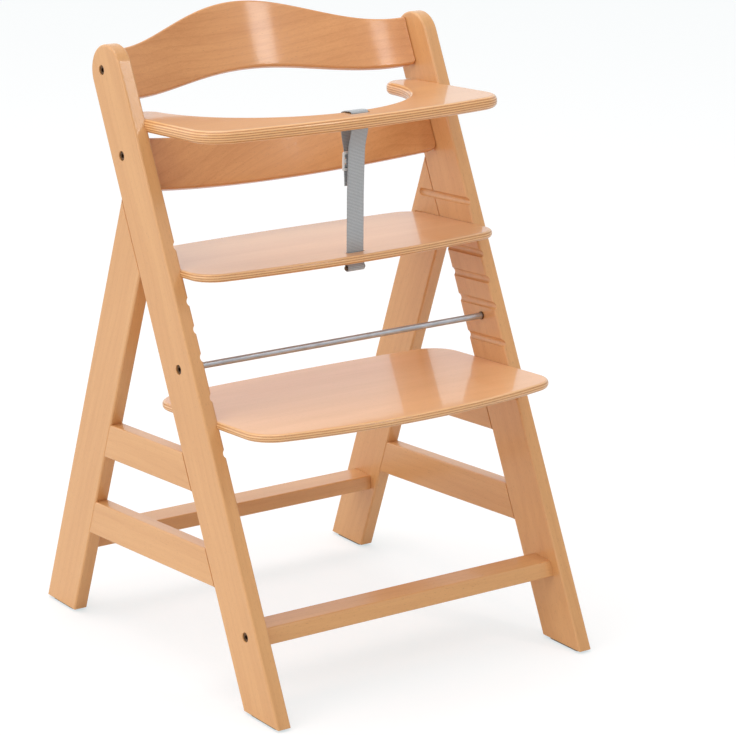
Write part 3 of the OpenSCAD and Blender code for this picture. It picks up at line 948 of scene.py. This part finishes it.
def spline(points, step):
    """Points every step along a smooth curve through the given (y, z) points."""
    points = np.array(points, float)
    pads = np.vstack([2 * points[0] - points[1], points, 2 * points[-1] - points[-2]])
    dense = []
    for i in range(1, len(pads) - 2):
        p0, p1, p2, p3 = pads[i - 1:i + 3]
        d0, d1, d2 = (max(np.linalg.norm(b - a), 1e-9) ** 0.5 for a, b in ((p0, p1), (p1, p2), (p2, p3)))
        m1 = (p1 - p0) / d0 - (p2 - p0) / (d0 + d1) + (p2 - p1) / d1
        m2 = (p2 - p1) / d1 - (p3 - p1) / (d1 + d2) + (p3 - p2) / d2
        m1, m2 = m1 * d1, m2 * d1
        for t in np.linspace(0, 1, 24, endpoint=False):
            dense.append((2 * t ** 3 - 3 * t ** 2 + 1) * p1 + (t ** 3 - 2 * t ** 2 + t) * m1
                         + (-2 * t ** 3 + 3 * t ** 2) * p2 + (t ** 3 - t ** 2) * m2)
    dense = np.array(dense + [points[-1]])
    run = np.concatenate([[0], np.cumsum(np.linalg.norm(np.diff(dense, axis=0), axis=1))])
    count = max(2, int(round(run[-1] / step)))
    at = np.linspace(0, run[-1], count + 1)
    return np.stack([np.interp(at, run, dense[:, 0]), np.interp(at, run, dense[:, 1])], 1), at


def strap(name, points, start=0.0):
    """Webbing along (y, z) points, ribbed across from start along the weave. Returns the piece
    and its length."""
    line, at = spline(points, WEAVE_PITCH / 4)
    tangent = np.gradient(line, axis=0)
    tangent /= np.linalg.norm(tangent, axis=1)[:, None]
    normal = np.stack([-tangent[:, 1], tangent[:, 0]], 1)
    half_w, half_t = STRAP_W / 2, STRAP_T / 2 - 0.12 * MM
    face = [-half_w + 0.5 * MM, -half_w / 2, 0, half_w / 2, half_w - 0.5 * MM]
    across = [(x, 1) for x in face] + [(half_w, 0)] + [(x, -1) for x in face[::-1]] + [(-half_w, 0)]
    rings, grain = [], []
    for p, n, s in zip(line, normal, at):
        rib = RIB_H * math.sin(2 * math.pi * (start + s) / WEAVE_PITCH)
        ring = []
        for x, side in across:
            ring.append((x, *(p + n * side * (half_t + rib))))
            grain.append((start + s, x, side * half_t))
        rings.append(ring)
    obj = loft(name, rings)
    values = obj.data.attributes.new("grain", "FLOAT_VECTOR", "POINT")
    values.data.foreach_set("vector", np.array(grain, np.float32).ravel())
    return obj, float(at[-1])


def make_strap():
    """The crotch strap: up from the seat, through the guard and over its inner edge to the slider
    behind it; and down through the seat round the bar that holds it."""
    g1, g2 = height_at(GUARD_C, GUARD_SLOT_Y), height_at(GUARD_C, GUARD_EDGE_Y)
    y = STRAP_Y
    upper_line = [(y, PART_Z), (y, 590 * MM), (y - 1 * MM, 622 * MM), (y - 2.4 * MM, 645 * MM),
                  (-96.4 * MM, 668 * MM), (-97 * MM, g1 + 4 * MM), (-96.2 * MM, g1 + 8.6 * MM),
                  (-93.4 * MM, g1 + 9.8 * MM), (-85 * MM, g1 + 9.2 * MM), (-78.5 * MM, g2 + 8.9 * MM),
                  (-73.8 * MM, g2 + 6.6 * MM), (-71.8 * MM, g2 + 2 * MM), (-71.6 * MM, g2 - 4 * MM),
                  (-73 * MM, g2 - 11.4 * MM)]
    upper, length = strap("strap.upper.webbing", upper_line)
    tail_line = [upper_line[-1], (-76.2 * MM, 654 * MM), (-79.8 * MM, SLIDER_Z + 14 * MM),
                 (-80.6 * MM, SLIDER_Z + 9.5 * MM), (-82.4 * MM, SLIDER_Z + 5.6 * MM),
                 (-85.2 * MM, SLIDER_Z + 2.6 * MM), (-85.2 * MM, SLIDER_Z - 2.6 * MM),
                 (-82.4 * MM, SLIDER_Z - 5.6 * MM), (-80.8 * MM, SLIDER_Z - 9.5 * MM),
                 (-81.6 * MM, SLIDER_Z - 20 * MM), (-82.2 * MM, SLIDER_Z - 31 * MM)]
    tail, tail_length = strap("strap.tail.webbing", tail_line, length)
    bar = middle("strap_anchor")
    loop = [(bar.y + dy * MM, bar.z + dz * MM) for dy, dz in
            ((0, 14), (-0.3, 9), (-1.6, 5.4), (-3.3, 2.2), (-3.6, -0.6), (-2.3, -2.9),
             (0, -3.6), (2.3, -2.9), (3.6, -0.6), (3.3, 2.2), (2.2, 4.6), (1.9, 8.0))]
    lower_line = [(y, PART_Z), (y, 540 * MM), (y, 520 * MM)] + loop
    # half a pitch on, so that the ribs of the two runs join
    lower, lower_length = strap("strap.lower.webbing", lower_line, WEAVE_PITCH / 2)
    for obj in (upper, tail, lower):
        obj.data.materials.append(WEB)
        smooth(obj)
    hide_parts("strap_upper")
    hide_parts("strap_lower")
    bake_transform(upper)
    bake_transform(lower)
    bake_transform(tail)


def make_slider():
    """White three-bar slider: a rounded frame with two windows."""
    low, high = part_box("strap_slider")
    mid = (low + high) / 2
    half_x, half_y, half_z = (high - low) / 2
    outline = round_rectangle(-half_x, half_x, -half_z, half_z, 2.5 * MM, 6)
    r = 0.9 * MM
    rings = []
    for a in np.radians(np.linspace(-90, 90, 9)):
        e = r * (1 - math.cos(a))
        y = mid.y + (half_y - r) * np.sign(a) + r * math.sin(a)
        rings.append([(mid.x + x * (1 - e / half_x), y, mid.z + z * (1 - e / half_z))
                      for x, z in outline])
    obj = loft("strap.slider.plastic", rings)
    window_x, window_z, window_h = 13.3 * MM, 2.2 * MM, 6.4 * MM
    cutters = []
    for z0 in (-window_z - window_h, window_z):
        window = round_rectangle(-window_x, window_x, z0, z0 + window_h, 1 * MM, 4)
        cutters.append(loft("window", [[(mid.x + x, mid.y + depth, mid.z + z) for x, z in window]
                                       for depth in (-10 * MM, 10 * MM)]))
    cut(obj, cutters)
    finish_piece(obj, "slider", WHITE, ["strap_slider"])


# --------------------------------------------------------------- hardware ----

def make_rod():
    """Zinc-plated tie rod with chamfered ends and a dark ring where it enters each rail."""
    low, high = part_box("tie_rod")
    mid = (low + high) / 2
    r = (high.z - low.z) / 2
    length = high.x - low.x
    chamfer = 0.8 * MM
    profile = [(0, r - chamfer), (0.3 * chamfer, r - 0.6 * chamfer), (chamfer, r),
               (length - chamfer, r), (length - 0.3 * chamfer, r - 0.6 * chamfer), (length, r - chamfer)]
    rod = lathe("tie.rod.steel", profile, (low.x, mid.y, mid.z), (1, 0, 0), 64)
    finish_piece(rod, "base", STEEL, ["tie_rod"])
    hole = r + 0.05 * MM
    washer_profile = [(0, hole), (0, r + 1.3 * MM), (0.5 * MM, r + 1.5 * MM), (1 * MM, r + 1.3 * MM),
                      (1.1 * MM, hole)]
    for side, name in ((-1, "left"), (1, "right")):
        start = (side * IN_X, mid.y, mid.z)
        washer = lathe("rod.washer." + name, washer_profile, start, (-side, 0, 0))
        finish_piece(washer, "base", DARK_STEEL)


def dress_cad_nodes():
    """CAD nodes that stay: softened edges and their materials."""
    kept = [(DARK_STEEL, 0.3 * MM, ("rod_caps", "slat_bolts", "front_bar_bolts")),
            (DOWEL, 0.3 * MM, ("leg_dowels", "stretcher_dowels", "rear_bar_dowels")),
            (GLIDE, 0.6 * MM, ("front_glides", "rear_glides")),
            (DARK_STEEL, 0.4 * MM, ("strap_anchor",))]
    for material, radius, names in kept:
        for name in names:
            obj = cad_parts[name]
            obj.data.materials.clear()
            obj.data.materials.append(material)
            weld = obj.modifiers.new("weld", "WELD")
            weld.merge_threshold = 0.01 * MM
            bevel = obj.modifiers.new("edges", "BEVEL")
            bevel.limit_method = "ANGLE"
            bevel.angle_limit = math.radians(35)
            bevel.width = radius
            bevel.segments = 2


# ------------------------------------------------------- stage and camera ----

FLOOR_HALF = 9.0
FLOOR_SEEN = (0.56, 0.43, 0.40)
FLOOR_BOUNCE = (0.78, 0.78, 0.78)
FLOOR_LIT = 1.03


def make_stage():
    half = FLOOR_HALF
    floor = new_object("floor", [(-half, -half, 0), (half, -half, 0), (half, half, 0), (-half, half, 0)],
                       [(0, 1, 2, 3)])
    nodes = Nodes("white floor")
    nodes.shader.inputs["Roughness"].default_value = 0.9
    nodes.shader.inputs["Specular IOR Level"].default_value = 0.0
    # seen by the camera, most of the white is emitted, so that shadows stay pale and neutral
    # under the wood; the floor lights the chair as plain white paper
    seen = nodes.add("ShaderNodeLightPath").outputs["Is Camera Ray"]
    nodes.put(nodes.shader, "Base Color", nodes.mix(seen, FLOOR_BOUNCE, FLOOR_SEEN))
    nodes.shader.inputs["Emission Color"].default_value = (*(FLOOR_LIT - c for c in FLOOR_SEEN), 1)
    nodes.put(nodes.shader, "Emission Strength", seen)
    floor.data.materials.append(nodes.material)


def area_light(name, place, target, size, power):
    """White rectangular lamp at place, turned to target."""
    light = bpy.data.lights.new(name, "AREA")
    light.shape = "RECTANGLE"
    light.size, light.size_y = size
    light.energy = power
    obj = bpy.data.objects.new(name, light)
    bpy.context.scene.collection.objects.link(obj)
    obj.location = place
    obj.rotation_euler = (Vector(target) - Vector(place)).to_track_quat("-Z", "Y").to_euler()


AMBIENT = 0.53
BACK_GLOW = 0.56
LEFT_GLOW = 0.50


def make_world():
    """The camera sees plain white. The chair is lit by a softer white, AMBIENT everywhere and
    brighter by BACK_GLOW behind the chair and by LEFT_GLOW on its left in the picture."""
    world = bpy.data.worlds.new("studio")
    bpy.context.scene.world = world
    world.use_nodes = True
    nodes = world.node_tree.nodes
    link = world.node_tree.links.new
    background = nodes["Background"]
    background.inputs[0].default_value = (1, 1, 1, 1)
    path = nodes.new("ShaderNodeLightPath")
    place = nodes.new("ShaderNodeTexCoord")
    part = nodes.new("ShaderNodeSeparateXYZ")
    link(place.outputs["Generated"], part.inputs[0])
    level = nodes.new("ShaderNodeMix")
    level.inputs["B"].default_value = 1.0
    total = nodes.new("ShaderNodeValue").outputs[0]
    total.default_value = AMBIENT
    for axis, sign, glow in (("Y", 1, BACK_GLOW), ("X", -1, LEFT_GLOW)):
        glow_map = nodes.new("ShaderNodeMapRange")
        link(part.outputs[axis], glow_map.inputs["Value"])
        glow_map.inputs["From Min"].default_value = -0.1 * sign
        glow_map.inputs["From Max"].default_value = 0.9 * sign
        glow_map.inputs["To Max"].default_value = glow
        add = nodes.new("ShaderNodeMath")
        link(glow_map.outputs[0], add.inputs[0])
        link(total, add.inputs[1])
        total = add.outputs[0]
    link(total, level.inputs["A"])
    link(path.outputs["Is Camera Ray"], level.inputs["Factor"])
    link(level.outputs["Result"], background.inputs[1])


def make_lamps():
    slats = (0, 0.12, 0.76)
    area_light("key left", (-6.2, -0.3, 2.7), (0, 0, 0.4), (2.8, 2.8), 64)
    area_light("overhead", (-0.3, 0.5, 3.6), (0, 0, 0.3), (2.6, 2.2), 32)
    # two narrow lamps that show as bright bands in the lacquer of the slats
    area_light("strip right", (1.36, -1.96, 2.75), slats, (0.31, 1.0), 11)
    area_light("strip middle", (-0.17, -2.29, 2.75), slats, (0.20, 1.0), 6)


# the camera's place, and its turn about Z, tilt and roll in radians
CAMERA_PLACE = (-2.05413, -3.04332, 1.41112)
CAMERA_TURN = -0.61218
CAMERA_TILT = -0.28279
CAMERA_ROLL = 0.00875
CAMERA_LENS = 148.126


def make_camera():
    """Long lens, from the left in front of the chair and above it."""
    camera = bpy.data.objects.new("camera", bpy.data.cameras.new("camera"))
    bpy.context.scene.collection.objects.link(camera)
    flat = math.cos(CAMERA_TILT)
    ahead = Vector((math.sin(-CAMERA_TURN) * flat, math.cos(-CAMERA_TURN) * flat, math.sin(CAMERA_TILT)))
    level = ahead.cross(Vector((0, 0, 1))).normalized()
    upright = level.cross(ahead)
    c, s = math.cos(CAMERA_ROLL), math.sin(CAMERA_ROLL)
    right, up = level * c + upright * s, upright * c - level * s
    matrix = Matrix((right, up, -ahead)).transposed().to_4x4()
    matrix.translation = Vector(CAMERA_PLACE)
    camera.matrix_world = matrix
    camera.data.sensor_width = 36
    camera.data.lens = CAMERA_LENS
    camera.data.clip_start = 0.1
    bpy.context.scene.camera = camera


make_camera()
make_side_frames()
make_crossbars()
make_slats()
make_boards()
make_strap()
make_slider()
make_rod()
dress_cad_nodes()
make_stage()
make_world()
make_lamps()
bpy.context.scene.view_settings.view_transform = "Standard"
